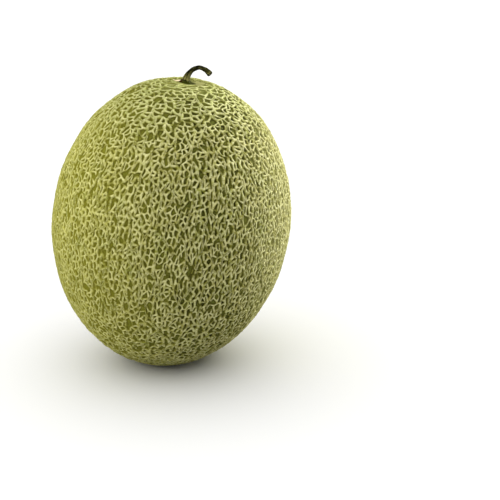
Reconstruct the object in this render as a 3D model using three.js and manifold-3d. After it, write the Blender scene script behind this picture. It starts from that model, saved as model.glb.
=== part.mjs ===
// A whole netted cantaloupe melon with its dried stem, in millimetres, +Z up.
// The melon stands on a small flat spot at its blossom end and leans a little to +X.
// The origin is the middle of that flat spot, and the table top is the plane z = 0.
import * as THREE from "three";
import { ConvexHull } from "three/addons/math/ConvexHull.js";
import { mergeVertices } from "three/addons/utils/BufferGeometryUtils.js";
import Module from "manifold-3d";

// The fruit's body, measured to the green rind between the cords of the net.
const WAIST_RADIUS = 74;
const HALF_LENGTH = 92;
const EGG = 0.014; // how much fuller the stem half is than the blossom half
const LEAN = THREE.MathUtils.degToRad(9.1); // of the long axis, towards +X
const FLAT_DEPTH = 2.4; // how far the body is flattened where it rests

// The hollow that the stem stands in, a little off the long axis.
const STEM_OFF_AXIS = THREE.MathUtils.degToRad(2.8);
const DIMPLE_DEPTH = 2.2;
const DIMPLE_ANGLE = 0.2; // radians from the stem at which the hollow has faded to a third

// The net of corky cords. Its cells are drawn two to three times as wide as they grow.
const CELLS = 840;
const CORD_HEIGHT = 1.2;
const CORD_HALF_WIDTH = 1.5;
const CORD_UNEVEN = 0.3; // how far a cord's height and width stray from these, as a share
const COLLAR = 1.35; // how much wider the plain cell round the stem is than the others
const SHORTEST_CORD = 2.4; // corners nearer than this are joined
const DEEPEST_INSET = 0.55; // a cord never covers more than this share of its cell
const WAIST_RATIO = 1.3; // cells are drawn out along the fruit at its waist
const END_RATIO = 0.6; // and round it beside the stem and the blossom scar
const RATIO_REACH = 1.5; // how far the waist's ratio reaches, in units of isometric latitude
const TRIES_PER_CELL = 24;
const NEWTON_STEPS = 12;
const SEED = 7;

// The stem: a short, dry, five-ribbed stalk that arches over to +X.
const ROOT_RADIUS = 2.3;
const ROOT_DEPTH = 1.8; // how far the root reaches into its socket
const GAP = 0.3; // between the stem and the fruit, all round
const FOOT_RADIUS = 3.6;
const FOOT_EDGE = 0.1; // height of the foot's thin rim
const FOOT_SLOPE = 0.6; // height at which the foot starts to narrow
const STEM_RIBS = 5;
const RIB_SHARE = 0.09; // height of a rib, as a share of the stem's radius
const STEM_SIDES = 15;
const STEM_RINGS = 24;
const STEM_TWIST = 1.1; // radians from foot to tip
const TIP_ROUNDING = 0.5; // how far the cut end bulges
const SOCKET_SIDES = 24;
// The stem's centre line above the rind, and its radius there.
const STEM_LINE = [
  { at: [-0.1, 0, 1.5], radius: 2.5 },
  { at: [0.6, -0.1, 3.6], radius: 1.65 },
  { at: [2.2, -0.3, 6.1], radius: 1.4 },
  { at: [4.8, -0.6, 8.3], radius: 1.25 },
  { at: [8.3, -0.9, 9.3], radius: 1.2 },
  { at: [11.7, -1.2, 8.1], radius: 1.35 },
  { at: [14.3, -1.5, 5.9], radius: 1.5 },
  { at: [15.4, -1.6, 4.7], radius: 1.55 },
];

const UP = new THREE.Vector3(0, 0, 1);
const LEAN_AXIS = new THREE.Vector3(0, 1, 0);

// A repeatable random number from 0 to 1 (the mulberry32 generator).
function seededRandom(seed) {
  let state = seed;
  return () => {
    state = (state + 0x6d2b79f5) | 0;
    let mixed = Math.imul(state ^ (state >>> 15), 1 | state);
    mixed = (mixed + Math.imul(mixed ^ (mixed >>> 7), 61 | mixed)) ^ mixed;
    return ((mixed ^ (mixed >>> 14)) >>> 0) / 4294967296;
  };
}

// ---- The body's surface -------------------------------------------------

// Where the ovoid of these half-axes has its lowest point once it leans.
function lowestPoint(radius, halfLength) {
  const across = radius * Math.sin(LEAN);
  const along = halfLength * Math.cos(LEAN);
  const depth = Math.hypot(across, along);
  const slant = radius ** 2 - halfLength ** 2;
  return { x: (slant * Math.sin(LEAN) * Math.cos(LEAN)) / depth, depth };
}

const NET_LOWEST = lowestPoint(WAIST_RADIUS + CORD_HEIGHT, HALF_LENGTH + CORD_HEIGHT);
const REST_HEIGHT = NET_LOWEST.depth - FLAT_DEPTH; // of the ovoid's centre above the table
const REST_X = (NET_LOWEST.x * REST_HEIGHT) / NET_LOWEST.depth; // of the flat spot's middle

// A point of the body. towards is a unit vector with +Z at the stem, and height is above the rind.
// An ovoid: an ellipsoid that is fuller at the stem half, with a hollow round the stem.
function bodyPoint(towards, height) {
  const way = towards.clone().applyAxisAngle(LEAN_AXIS, -STEM_OFF_AXIS);
  const radius = (WAIST_RADIUS + height) * (1 + EGG * way.z);
  const dimple = Math.exp(-((towards.angleTo(UP) / DIMPLE_ANGLE) ** 2));
  const point = new THREE.Vector3(
    way.x * radius,
    way.y * radius,
    way.z * (HALF_LENGTH + height),
  );
  point.multiplyScalar(1 - (dimple * DIMPLE_DEPTH) / HALF_LENGTH);
  point.applyAxisAngle(LEAN_AXIS, LEAN);
  point.x -= REST_X;
  point.z += REST_HEIGHT;
  point.z = Math.max(point.z, 0); // flattened where it rests
  return point;
}

// ---- The net ------------------------------------------------------------

// Isometric latitude keeps shapes true, so scaling it draws every cell out by the slope of this curve.
function stretched(latitude) {
  const bend = (WAIST_RATIO - END_RATIO) * RATIO_REACH;
  return END_RATIO * latitude + bend * Math.tanh(latitude / RATIO_REACH);
}

function stretchSlope(latitude) {
  return END_RATIO + (WAIST_RATIO - END_RATIO) / Math.cosh(latitude / RATIO_REACH) ** 2;
}

// The latitude that stretched() takes to this one, by Newton's steps.
function unstretched(latitude) {
  let found = latitude;
  for (let step = 0; step < NEWTON_STEPS; step += 1) {
    found -= (stretched(found) - latitude) / stretchSlope(found);
  }
  return found;
}

// A unit vector at the same longitude and another isometric latitude.
function atLatitude(towards, latitude) {
  const z = Math.tanh(latitude);
  const ring = 1 / Math.cosh(latitude);
  const longitude = Math.atan2(towards.y, towards.x);
  return new THREE.Vector3(ring * Math.cos(longitude), ring * Math.sin(longitude), z);
}

const latitudeOf = (towards) => Math.atanh(THREE.MathUtils.clamp(towards.z, -0.999999, 0.999999));

// The middle of every cell, on the unstretched sphere. Of several random places, each cell takes
// the one furthest from its neighbours, so the cells are uneven but never crowd.
function cellMiddles() {
  const random = seededRandom(SEED);
  const middles = [UP.clone(), UP.clone().negate()];
  while (middles.length < CELLS) {
    let best = null;
    let bestRoom = 0;
    for (let i = 0; i < TRIES_PER_CELL; i += 1) {
      const z = 2 * random() - 1;
      const longitude = 2 * Math.PI * random();
      const ring = Math.sqrt(1 - z * z);
      const place = new THREE.Vector3(ring * Math.cos(longitude), ring * Math.sin(longitude), z);
      const latitude = unstretched(latitudeOf(place));
      const middle = atLatitude(place, latitude);
      const growth = ring * Math.cosh(latitude) * Math.sqrt(stretchSlope(latitude));
      const nearest = Math.min(...middles.map((other) => other.distanceTo(middle)));
      const room = Math.min(nearest, middle.distanceTo(UP) / COLLAR) * growth;
      if (room > bestRoom) {
        bestRoom = room;
        best = middle;
      }
    }
    middles.push(best);
  }
  return middles;
}

// The cells round those middles: a convex hull's faces are their corners, each at its face's normal.
// Returns the corners' unit vectors on the fruit, and each cell's ring of corners.
function netCells() {
  const middles = cellMiddles();
  const index = new Map(middles.map((middle, i) => [middle, i]));
  const hull = new ConvexHull().setFromPoints(middles);
  const rings = middles.map(() => []);
  const corners = hull.faces.map((face, corner) => {
    let edge = face.edge;
    do {
      rings[index.get(edge.head().point)].push(corner);
      edge = edge.next;
    } while (edge !== face.edge);
    return face.normal.clone();
  });
  rings.forEach((ring, i) => sortRound(ring, corners, middles[i]));
  const ways = corners.map((way) => atLatitude(way, stretched(latitudeOf(way))));
  return joinNearCorners(ways, rings);
}

// Puts a ring of corners in order round the cell's middle, anticlockwise from outside.
function sortRound(ring, corners, middle) {
  const east = new THREE.Vector3(-middle.y, middle.x, 0);
  if (east.lengthSq() < 1e-9) east.set(1, 0, 0);
  east.normalize();
  const north = new THREE.Vector3().crossVectors(middle, east);
  const turn = (corner) => Math.atan2(corners[corner].dot(north), corners[corner].dot(east));
  ring.sort((a, b) => turn(a) - turn(b));
}

// Joins corners that the shortest cord would part, so that no cord is a mere speck.
function joinNearCorners(ways, rings) {
  const parent = ways.map((_, i) => i);
  const find = (i) => (parent[i] === i ? i : find(parent[i]));
  const places = ways.map((way) => bodyPoint(way, 0));
  rings.forEach((ring) =>
    ring.forEach((corner, i) => {
      const next = ring[(i + 1) % ring.length];
      if (places[corner].distanceTo(places[next]) < SHORTEST_CORD) {
        parent[find(corner)] = find(next);
      }
    }),
  );
  const joined = ways.map(() => new THREE.Vector3());
  ways.forEach((way, i) => joined[find(i)].add(way));
  joined.forEach((way) => way.normalize());
  const cells = rings
    .map((ring) => ring.map(find))
    .map((ring) => ring.filter((corner, i) => corner !== ring[(i + 1) % ring.length]))
    .filter((ring) => ring.length > 2);
  return { ways: joined, cells };
}

// The fruit's skin as one closed mesh. The crests of the cords follow the edges of the cells, and
// slope down to each cell's floor. The first cell, at the stem, has a corner in its middle too.
function skinGeometry() {
  const { ways, cells } = netCells();
  const random = seededRandom(SEED + 1);
  const sizes = ways.map(() => 1 + CORD_UNEVEN * (2 * random() - 1));
  const positions = [];
  const triangles = [];
  const crests = new Map();
  const add = (point) => positions.push(point.x, point.y, point.z) / 3 - 1;
  const crestOf = (corner) => {
    if (!crests.has(corner)) {
      crests.set(corner, add(bodyPoint(ways[corner], CORD_HEIGHT * sizes[corner])));
    }
    return crests.get(corner);
  };
  cells.forEach((ring, cell) => {
    const middle = new THREE.Vector3();
    ring.forEach((corner) => middle.add(ways[corner]));
    middle.normalize();
    const centre = bodyPoint(middle, 0);
    const feet = ring.map((corner) => {
      const reach = bodyPoint(ways[corner], 0).distanceTo(centre);
      const inset = Math.min((CORD_HALF_WIDTH * sizes[corner]) / reach, DEEPEST_INSET);
      return add(bodyPoint(ways[corner].clone().lerp(middle, inset).normalize(), 0));
    });
    ring.forEach((corner, i) => {
      const j = (i + 1) % ring.length;
      const [crest, nextCrest] = [crestOf(corner), crestOf(ring[j])];
      triangles.push(crest, nextCrest, feet[j], crest, feet[j], feet[i]);
    });
    if (cell === 0) {
      const pole = add(bodyPoint(UP, 0));
      feet.forEach((foot, i) => triangles.push(pole, foot, feet[(i + 1) % feet.length]));
    } else {
      for (let i = 1; i < feet.length - 1; i += 1) triangles.push(feet[0], feet[i], feet[i + 1]);
    }
  });
  const geometry = new THREE.BufferGeometry();
  geometry.setAttribute("position", new THREE.Float32BufferAttribute(positions, 3));
  geometry.setIndex(triangles);
  return geometry;
}

// ---- Where the stem stands ----------------------------------------------

// The stem's foot on the rind, and the way out of the fruit there.
const STEM_FOOT = bodyPoint(UP, 0);
const STEM_WAY = UP.clone().applyAxisAngle(LEAN_AXIS, LEAN - STEM_OFF_AXIS);

// The socket that the stem's root stands in: a plain round hole.
function socketGeometry() {
  const radius = ROOT_RADIUS + GAP;
  const depth = ROOT_DEPTH + GAP;
  const above = 3 * GAP;
  const socket = new THREE.CylinderGeometry(radius, radius, depth + above, SOCKET_SIDES);
  socket.rotateX(Math.PI / 2);
  socket.translate(0, 0, (above - depth) / 2);
  socket.applyQuaternion(new THREE.Quaternion().setFromUnitVectors(UP, STEM_WAY));
  socket.translate(STEM_FOOT.x, STEM_FOOT.y, STEM_FOOT.z);
  return socket;
}

// ---- The stem -----------------------------------------------------------

// A closed tube through the stations, each {centre, way, radius, turn}, with ribs along it.
function ribbedTube(stations) {
  const positions = [];
  const triangles = [];
  stations.forEach(({ centre, way, radius, turn }) => {
    const frame = new THREE.Quaternion().setFromUnitVectors(UP, way);
    for (let side = 0; side < STEM_SIDES; side += 1) {
      const angle = (2 * Math.PI * side) / STEM_SIDES;
      const reach = radius * (1 + RIB_SHARE * Math.cos(STEM_RIBS * angle));
      const point = new THREE.Vector3(Math.cos(angle + turn), Math.sin(angle + turn), 0);
      point.multiplyScalar(reach).applyQuaternion(frame).add(centre);
      positions.push(point.x, point.y, point.z);
    }
  });
  const last = stations.length - 1;
  for (let ring = 0; ring < last; ring += 1) {
    for (let side = 0; side < STEM_SIDES; side += 1) {
      const next = (side + 1) % STEM_SIDES;
      const [low, high] = [ring * STEM_SIDES, (ring + 1) * STEM_SIDES];
      triangles.push(low + side, low + next, high + next, low + side, high + next, high + side);
    }
  }
  for (let side = 1; side < STEM_SIDES - 1; side += 1) {
    const top = last * STEM_SIDES;
    triangles.push(0, side + 1, side, top, top + side, top + side + 1);
  }
  const geometry = new THREE.BufferGeometry();
  geometry.setAttribute("position", new THREE.Float32BufferAttribute(positions, 3));
  geometry.setIndex(triangles);
  return geometry;
}

// The root and the flared foot stand square to the rind. The stalk follows its centre line.
function stemGeometry() {
  const along = (height) => STEM_FOOT.clone().addScaledVector(STEM_WAY, height);
  const footRings = [
    { height: -ROOT_DEPTH, radius: ROOT_RADIUS },
    { height: GAP, radius: ROOT_RADIUS },
    { height: GAP + FOOT_EDGE, radius: FOOT_RADIUS },
    { height: GAP + FOOT_SLOPE, radius: FOOT_RADIUS * 0.93 },
  ];
  const stations = footRings.map(({ height, radius }) => ({
    centre: along(height),
    way: STEM_WAY,
    radius,
    turn: 0,
  }));
  const points = STEM_LINE.map(({ at }) => STEM_FOOT.clone().add(new THREE.Vector3(...at)));
  const line = new THREE.CatmullRomCurve3(points, false, "centripetal");
  const spans = STEM_LINE.length - 1;
  for (let ring = 0; ring <= STEM_RINGS; ring += 1) {
    const share = ring / STEM_RINGS;
    const span = Math.min(Math.floor(share * spans), spans - 1);
    const within = share * spans - span;
    stations.push({
      centre: line.getPoint(share),
      way: line.getTangent(share),
      radius: THREE.MathUtils.lerp(STEM_LINE[span].radius, STEM_LINE[span + 1].radius, within),
      turn: STEM_TWIST * share,
    });
  }
  const tip = stations.at(-1);
  stations.push({
    ...tip,
    centre: tip.centre.clone().addScaledVector(tip.way, TIP_ROUNDING),
    radius: tip.radius * 0.72,
  });
  return ribbedTube(stations);
}

// ---- Cutting, and the finished group ------------------------------------

const wasm = await Module();
wasm.setup();

// A closed mesh as a solid for cutting: only positions are kept, with shared corners merged.
function solidOf(geometry) {
  const bare = geometry.clone();
  bare.deleteAttribute("normal");
  bare.deleteAttribute("uv");
  const merged = mergeVertices(bare, 1e-4);
  return new wasm.Manifold(
    new wasm.Mesh({
      numProp: 3,
      vertProperties: merged.attributes.position.array,
      triVerts: new Uint32Array(merged.index.array),
    }),
  );
}

function geometryOf(solid) {
  const mesh = solid.getMesh();
  const geometry = new THREE.BufferGeometry();
  geometry.setAttribute("position", new THREE.BufferAttribute(mesh.vertProperties, 3));
  geometry.setIndex(new THREE.BufferAttribute(mesh.triVerts, 1));
  geometry.computeVertexNormals();
  return geometry;
}

// The fruit is one piece: flesh, rind and the net grown on it. Only its outside is modelled.
function makeFruit() {
  const skin = solidOf(skinGeometry());
  const geometry = geometryOf(skin.subtract(solidOf(socketGeometry())));
  const material = new THREE.MeshStandardMaterial({ color: 0xa3a263, roughness: 0.75, metalness: 0 });
  const fruit = new THREE.Mesh(geometry, material);
  fruit.name = "fruit";
  return fruit;
}

// The dried stalk that the melon hung on, cut short.
function makeStem() {
  const material = new THREE.MeshStandardMaterial({ color: 0x4a4722, roughness: 0.85, metalness: 0 });
  const stem = new THREE.Mesh(stemGeometry(), material);
  stem.name = "stem";
  return stem;
}

const melon = new THREE.Group();
melon.add(makeFruit(), makeStem());

export default melon;
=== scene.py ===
import bpy
import numpy as np
from mathutils import Matrix, Vector
from mathutils.geometry import delaunay_2d_cdt


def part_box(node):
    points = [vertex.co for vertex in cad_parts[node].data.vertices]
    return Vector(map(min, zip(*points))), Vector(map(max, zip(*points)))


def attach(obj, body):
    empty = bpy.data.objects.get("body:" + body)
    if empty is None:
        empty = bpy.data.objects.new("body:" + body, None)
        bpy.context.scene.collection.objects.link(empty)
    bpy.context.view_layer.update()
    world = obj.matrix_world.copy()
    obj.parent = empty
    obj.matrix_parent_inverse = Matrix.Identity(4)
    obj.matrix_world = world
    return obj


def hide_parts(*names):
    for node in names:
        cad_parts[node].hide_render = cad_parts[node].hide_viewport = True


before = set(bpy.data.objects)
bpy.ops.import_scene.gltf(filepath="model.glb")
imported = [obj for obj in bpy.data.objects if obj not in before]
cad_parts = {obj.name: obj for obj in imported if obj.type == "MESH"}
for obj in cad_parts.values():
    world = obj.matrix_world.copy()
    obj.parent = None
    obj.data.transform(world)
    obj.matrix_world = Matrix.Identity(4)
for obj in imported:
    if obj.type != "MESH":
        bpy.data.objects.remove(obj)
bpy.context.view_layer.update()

# ---- The rind ----------------------------------------------------------------
# The melon's skin between the cords of its net: one smooth, waxy, olive-green ovoid. It grew
# hollow round the stem and flat where the melon rests, and its sunny flank ripened yellower; that
# flank is also painted lighter, where the left light falls.

MM = 0.001
CORD_HEIGHT = 1.1 * MM  # of the net over the rind
TALLEST_CORD = 1.4 * MM  # of the coarser net on the solid
fruit_low, fruit_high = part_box("fruit")
SWELL = 0.2 * MM  # height of the faint waves in the ovoid
MARGIN = 0.4 * MM  # between the tallest cords and the solid's box
WAIST_RADIUS = (fruit_high.y - fruit_low.y) / 2 - TALLEST_CORD - MARGIN
HALF_LENGTH = (WAIST_RADIUS + MARGIN) * 92 / 74  # of the long axis, in scale with the waist
EGG = 0.014  # how much fuller the stem half is
LEAN = np.radians(9.1)  # of the long axis, towards +X
FLAT_DEPTH = 2.4 * MM  # how far the ovoid is pressed flat where it rests
REST_RELIEF = 0.5 * MM  # the rind stays this far above the table
REST_SOFTNESS = 0.25 * MM  # how gently the ovoid turns into the flat spot
STEM_OFF_AXIS = np.radians(2.8)  # between the stem's foot and the long axis
DIMPLE_DEPTH = 2.2 * MM  # of the hollow round the stem
DIMPLE_ANGLE = 0.2  # its reach, in radians of the fruit
SWELL_LENGTH = 0.45  # of those waves, in radians of the fruit
RIND_RINGS = 100
RIND_SIDES = 150


def turned(points, angle):
    """Points turned about Y, so that +Z moves towards +X by the angle."""
    x, y, z = points.T
    c, s = np.cos(angle), np.sin(angle)
    return np.stack([x * c + z * s, y, z * c - x * s], 1)


def waves(points, length, seed):
    """A smooth random height from about -1 to 1 at each point: the sum of twelve sine waves that
    run in random directions with random phases, each about `length` long."""
    rng = np.random.default_rng(seed)
    way = rng.normal(size=(12, 3))
    way *= 2 * np.pi / length / np.linalg.norm(way, axis=1)[:, None]
    way *= rng.uniform(0.7, 1.4, 12)[:, None]
    return np.sin(points @ way.T + rng.uniform(0, 2 * np.pi, 12)).sum(1) / 4


# Where the ovoid to the tops of the cords has its lowest point once it leans, and so where its
# middle stands over the flat spot.
reach_x = (WAIST_RADIUS + CORD_HEIGHT) * np.sin(LEAN)
reach_z = (HALF_LENGTH + CORD_HEIGHT) * np.cos(LEAN)
depth = np.hypot(reach_x, reach_z)
slant = (WAIST_RADIUS + CORD_HEIGHT) ** 2 - (HALF_LENGTH + CORD_HEIGHT) ** 2
lowest_x = slant * np.sin(LEAN) * np.cos(LEAN) / depth
REST_HEIGHT = depth - FLAT_DEPTH
REST_X = lowest_x * REST_HEIGHT / depth
MIDDLE = Vector((-REST_X, 0, REST_HEIGHT))


def ovoid(way, height):
    """Points of the fruit before it is pressed flat, for unit vectors with the stem at +Z.

    The way is turned to the long axis. Then x and y are times the waist radius, which swells by
    EGG towards the stem, and z times the half length, both grown by the height and by faint waves.
    A bell-shaped hollow round the stem shrinks the point, and the whole leans about Y."""
    axial = turned(way, -STEM_OFF_AXIS)
    grown = height + SWELL * waves(way, SWELL_LENGTH, 3)
    radius = (WAIST_RADIUS + grown) * (1 + EGG * axial[:, 2])
    points = axial * np.stack([radius, radius, HALF_LENGTH + grown], 1)
    from_stem = np.arccos(np.clip(way[:, 2], -1, 1))
    hollow = np.exp(-((from_stem / DIMPLE_ANGLE) ** 2)) * DIMPLE_DEPTH / HALF_LENGTH
    return turned(points * (1 - hollow)[:, None], LEAN) + np.array(MIDDLE)


def pressed(points, height):
    """Points pressed up to the table: z becomes a soft maximum of z and a level that is 0 at the
    tops of the cords and REST_RELIEF at the rind."""
    level = REST_RELIEF * np.clip(1 - height / CORD_HEIGHT, 0, None)
    above = np.logaddexp(0, (points[:, 2] - level) / REST_SOFTNESS) * REST_SOFTNESS
    return np.stack([points[:, 0], points[:, 1], level + above], 1)


def grid_faces(rings, sides):
    """Quads of a tube whose points are stored ring by ring, each ring closing on itself."""
    ring, side = np.meshgrid(np.arange(rings - 1), np.arange(sides), indexing="ij")
    here, beside = ring * sides + side, ring * sides + (side + 1) % sides
    return np.stack([here, beside, beside + sides, here + sides], -1).reshape(-1, 4)


def fan_faces(centre, ring):
    """Triangles from one point to each side of a closed ring."""
    return np.stack([np.full(len(ring), centre), ring, np.roll(ring, -1)], 1)


def add_piece(name, points, quads, triangles=()):
    """A smooth-shaded mesh object with its place in its mesh."""
    mesh = bpy.data.meshes.new(name)
    mesh.from_pydata(points.tolist(), [], quads.tolist() + [list(t) for t in triangles])
    mesh.shade_smooth()
    piece = bpy.data.objects.new(name, mesh)
    bpy.context.scene.collection.objects.link(piece)
    return piece


def linear(hex_colour):
    """An sRGB hex colour as linear red, green, blue and alpha 1."""
    srgb = np.array([int(hex_colour[i : i + 2], 16) for i in (1, 3, 5)]) / 255
    low_part, high_part = srgb / 12.92, ((srgb + 0.055) / 1.055) ** 2.4
    return (*np.where(srgb <= 0.04045, low_part, high_part).tolist(), 1)


def add_node(tree, kind, settings=(), inputs=(), links=()):
    """One shader node with its settings, input values, and links into its inputs."""
    made = tree.nodes.new("ShaderNode" + kind)
    for name, value in dict(settings).items():
        setattr(made, name, value)
    for name, value in dict(inputs).items():
        made.inputs[name].default_value = value
    for name, source in dict(links).items():
        tree.links.new(source, made.inputs[name])
    return made


def new_material(name):
    """An empty node material, its shader, and the piece's own coordinates."""
    material = bpy.data.materials.new(name)
    material.use_nodes = True
    tree = material.node_tree
    shader = tree.nodes["Principled BSDF"]
    place = add_node(tree, "TexCoord").outputs["Object"]
    return material, tree, shader, place


# Waxy melon skin: thin green skin over pale flesh, so its colour is soft and a little uneven. It
# is olive, yellower on the flank that lay in the sun and painted lighter there, where the left
# light falls, with fine pale flecks.
RIND = "#5c6223"
# painted light: the yellowed -X flank is also painted lighter, where the left light falls
RIND_YELLOWED_AND_LIT = "#8d8b24"
RIND_PALE = "#65681f"
FLECK = "#87883e"
COLLAR = "#7d7c48"  # the plain, callused skin round the stem
COLLAR_FADE = (26 * MM, 9 * MM)  # from the foot, where its colour starts and where it is full
MOTTLE_SIZE = 14 * MM
FLECK_SIZE = 1.1 * MM  # coarser than the real flecks, so that they show
YELLOWED_AND_LIT_SIDE = (0.03, -0.075)  # x where the sunny flank, yellower and painted lighter, starts, and where it is full
STEM_FOOT = Vector(ovoid(np.array([[0.0, 0, 1]]), np.zeros(1))[0])
FOOT_SHADOW_AND_STAIN = "#303300"  # painted shadow and stain where the stem's foot meets the rind
FOOT_SHADOW_AND_STAIN_PLACE = STEM_FOOT + Vector((0.3, -1.4, 0)) * MM
FOOT_SHADOW_AND_STAIN_FADE = (6.8 * MM, 4.4 * MM)
CALLUS = "#c9b499"  # a dry spot of torn skin beside the foot
CALLUS_PLACE = STEM_FOOT + Vector((-5.8, 4.8, 0)) * MM
CALLUS_FADE = (4.6 * MM, 4.0 * MM)
CALLUS_FRAY = 3.5 * MM  # how far its edge strays
FRAY_SIZE = 1.6 * MM


def skin_colour(tree, place):
    """The colour of the bare rind: olive, yellower and painted lighter towards -X, with paler
    mottles and flecks. Round the stem come a plain collar, a painted shadow and stain under the
    foot, and the callus beside it."""
    mottle = add_node(
        tree, "TexNoise", inputs={"Scale": 1 / MOTTLE_SIZE, "Detail": 4, "Roughness": 0.6},
        links={"Vector": place},
    )
    flecks = add_node(
        tree, "TexNoise", inputs={"Scale": 1 / FLECK_SIZE, "Detail": 3}, links={"Vector": place}
    )
    axes = add_node(tree, "SeparateXYZ", links={"Vector": place})
    # the -X flank: yellowed, and painted lighter where the left light falls
    yellowed_and_lit = add_node(
        tree, "MapRange", {"interpolation_type": "SMOOTHSTEP"},
        inputs={"From Min": YELLOWED_AND_LIT_SIDE[0], "From Max": YELLOWED_AND_LIT_SIDE[1]},
        links={"Value": axes.outputs["X"]},
    )
    paler = add_node(
        tree, "MapRange", inputs={"From Min": 0.4, "From Max": 0.7},
        links={"Value": mottle.outputs["Fac"]},
    )
    flecked = add_node(
        tree, "MapRange", inputs={"From Min": 0.58, "From Max": 0.74},
        links={"Value": flecks.outputs["Fac"]},
    )
    yellowed_and_lit_rind = add_node(
        tree, "Mix", {"data_type": "RGBA"},
        inputs={6: linear(RIND), 7: linear(RIND_YELLOWED_AND_LIT)}, links={0: yellowed_and_lit.outputs["Result"]},
    )
    to_stem = add_node(
        tree, "VectorMath", {"operation": "DISTANCE"}, inputs={1: STEM_FOOT}, links={0: place}
    )
    collared = add_node(
        tree, "MapRange", {"interpolation_type": "SMOOTHSTEP"},
        inputs={"From Min": COLLAR_FADE[0], "From Max": COLLAR_FADE[1]},
        links={"Value": to_stem.outputs["Value"]},
    )
    # a painted shadow and stain on the rind under the stem's foot
    to_foot_shadow = add_node(
        tree, "VectorMath", {"operation": "DISTANCE"}, inputs={1: FOOT_SHADOW_AND_STAIN_PLACE}, links={0: place}
    )
    foot_shadowed_and_stained = add_node(
        tree, "MapRange", {"interpolation_type": "SMOOTHSTEP"},
        inputs={"From Min": FOOT_SHADOW_AND_STAIN_FADE[0], "From Max": FOOT_SHADOW_AND_STAIN_FADE[1]},
        links={"Value": to_foot_shadow.outputs["Value"]},
    )
    to_callus = add_node(
        tree, "VectorMath", {"operation": "DISTANCE"}, inputs={1: CALLUS_PLACE}, links={0: place}
    )
    frayed = add_node(
        tree, "TexNoise", inputs={"Scale": 1 / FRAY_SIZE, "Detail": 3}, links={"Vector": place}
    )
    callus_edge = add_node(
        tree, "Math", {"operation": "MULTIPLY_ADD"}, inputs={1: CALLUS_FRAY},
        links={0: frayed.outputs["Fac"], 2: to_callus.outputs["Value"]},
    )
    torn = add_node(
        tree, "MapRange", inputs={"From Min": CALLUS_FADE[0], "From Max": CALLUS_FADE[1]},
        links={"Value": callus_edge.outputs["Value"]},
    )
    marks = (paler, RIND_PALE), (flecked, FLECK), (collared, COLLAR), (foot_shadowed_and_stained, FOOT_SHADOW_AND_STAIN), (torn, CALLUS)
    colour = yellowed_and_lit_rind.outputs[2]
    for share, mark in marks:
        colour = add_node(
            tree, "Mix", {"data_type": "RGBA"}, inputs={7: linear(mark)},
            links={0: share.outputs["Result"], 6: colour},
        ).outputs[2]
    return colour


rind_skin, tree, shader, place = new_material("waxy_melon_skin")
shader.inputs["Roughness"].default_value = 0.5
shader.inputs["Specular IOR Level"].default_value = 0.04
tree.links.new(skin_colour(tree, place), shader.inputs["Base Color"])
pores = add_node(
    tree, "TexNoise", inputs={"Scale": 1 / FLECK_SIZE, "Detail": 3}, links={"Vector": place}
)
bump = add_node(
    tree, "Bump", inputs={"Strength": 0.35, "Distance": 0.1 * MM},
    links={"Height": pores.outputs["Fac"]},
)
tree.links.new(bump.outputs["Normal"], shader.inputs["Normal"])

# The ovoid's grid runs from the stem to the blossom end, with a single point at each.
turn = np.linspace(0, 2 * np.pi, RIND_SIDES, endpoint=False)
fall = np.linspace(0, np.pi, RIND_RINGS + 2)[1:-1]
fall, turn = np.meshgrid(fall, turn, indexing="ij")
rind_way = np.stack([np.sin(fall) * np.cos(turn), np.sin(fall) * np.sin(turn), np.cos(fall)], -1)
rind_way = np.concatenate([rind_way.reshape(-1, 3), [[0, 0, 1], [0, 0, -1]]])
rind_points = pressed(ovoid(rind_way, np.zeros(len(rind_way))), np.zeros(len(rind_way)))
last_ring = np.arange((RIND_RINGS - 1) * RIND_SIDES, RIND_RINGS * RIND_SIDES)
rind = add_piece(
    "rind",
    rind_points,
    grid_faces(RIND_RINGS, RIND_SIDES)[:, ::-1],
    [
        *fan_faces(len(rind_points) - 2, np.arange(RIND_SIDES)),
        *fan_faces(len(rind_points) - 1, last_ring)[:, ::-1],
    ],
)
rind.data.materials.append(rind_skin)
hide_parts("fruit")
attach(rind, "root")

# ---- The net -----------------------------------------------------------------
# Pale corky cords that healed over the cracks in the growing rind. They join in a net of some
# seven thousand cells, drawn out along the fruit at its waist and round it near the stem, where
# the net gives way to a plain collar. Bare skin between the cords' feet closes each cell.

CELLS = 8600
# How close together the cells are, from the blossom end to the stem, against their mean.
CROWDING_ALONG = (-1.0, -0.6, -0.2, 0.3, 0.65, 0.8, 0.9, 1.0)
CROWDING = (0.78, 0.88, 1.11, 1.13, 0.96, 0.81, 0.65, 0.45)
NEAREST = 0.45  # of another cell's middle, as a share of a cell's width
BARE_CELLS = 9  # large cells near the stem that took in all their neighbours
BARE_FROM = 0.75  # how far up they start, where 1 is the stem
BARE_REACH = (0.8, 1.3)  # radius of such a cell, in widths of a mean cell
PATCHES = 760  # groups of cells that the first cracks ran between
PATCH_RATIO = 3.2  # how long such a group is along the fruit, against its width
JITTER = 0.6  # how far a cell strays from an even lattice, as a share of its width
EVENING_PASSES = 1  # in which each cell's middle moves towards the mean of its corners
WAIST_RATIO = 1.29  # how far a cell is drawn out along the fruit at the waist
END_RATIO = 0.68  # and at both ends
RATIO_REACH = 0.85  # isometric latitude over which the one turns into the other
OVOID_RATIO = 0.24  # how much further the ovoid itself draws a cell out at the waist
CORD_HALF_WIDTH = 1.28 * MM
FIRST_SIZE = 1.4  # of a cord between two patches, against the mean
LATER_SIZE = 0.79  # of one within a patch
ACROSS_THINNER = 0.25  # how much of its size a cord that runs across its cell lacks
SIZE_SPREAD = 0.2
FADED_WIDTH = 0.4  # share of its width that a faded cord keeps
FADED = 0.02  # chance that a later cord, or a step of any cord, has faded
FADED_ACROSS = 0.05  # how much greater that is where the cord runs across its cell
BLEACH = 0.85  # how bleached the very thinnest cord is
BLEACH_BY_SIZE = 0.3  # how much less for each size up
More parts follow.
